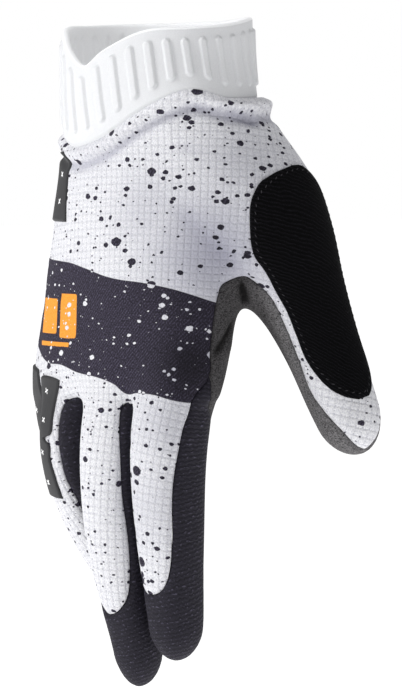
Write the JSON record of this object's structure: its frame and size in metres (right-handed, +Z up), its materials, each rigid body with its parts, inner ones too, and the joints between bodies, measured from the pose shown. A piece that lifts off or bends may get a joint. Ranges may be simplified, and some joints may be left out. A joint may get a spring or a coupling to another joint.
{
  "type": "mountain bike glove",
  "caption": "Slip-on long-finger mountain bike glove for the right hand in its worn form, with a ribbed moulded cuff, a printed mesh back, a suede palm, a thumb wipe patch and knuckle pads",
  "frame": {"origin": "centre of the cuff's opening, where the wrist goes in", "axes": "+Z up out of the cuff with the fingers hanging down, -Y out of the back of the hand, +X towards the thumb side"},
  "size_m": [0.1137, 0.0719, 0.2102],
  "materials": {
    "cuff_rubber": "matte white moulded rubber sheet with raised ribs",
    "white_mesh": "white knitted mesh with a small square waffle and a printed dark speckle",
    "grey_suede": "heather grey micro-suede palm cloth",
    "dark_knit": "blue-black stretch cloth with fine ribs",
    "black_terry": "black soft ribbed wipe cloth",
    "grey_rubber": "dark grey satin moulded rubber"
  },
  "bodies": {
    "root": {"cuff": "cuff_rubber", "back_panel": "white_mesh", "palm_panel": "grey_suede", "index_side": "dark_knit", "middle_side": "dark_knit", "ring_side": "dark_knit", "little_side": "dark_knit", "thumb_patch": "black_terry", "back_pad": "grey_rubber", "ring_pad": "grey_rubber", "little_pad": "grey_rubber"}
  },
  "joints": []
}
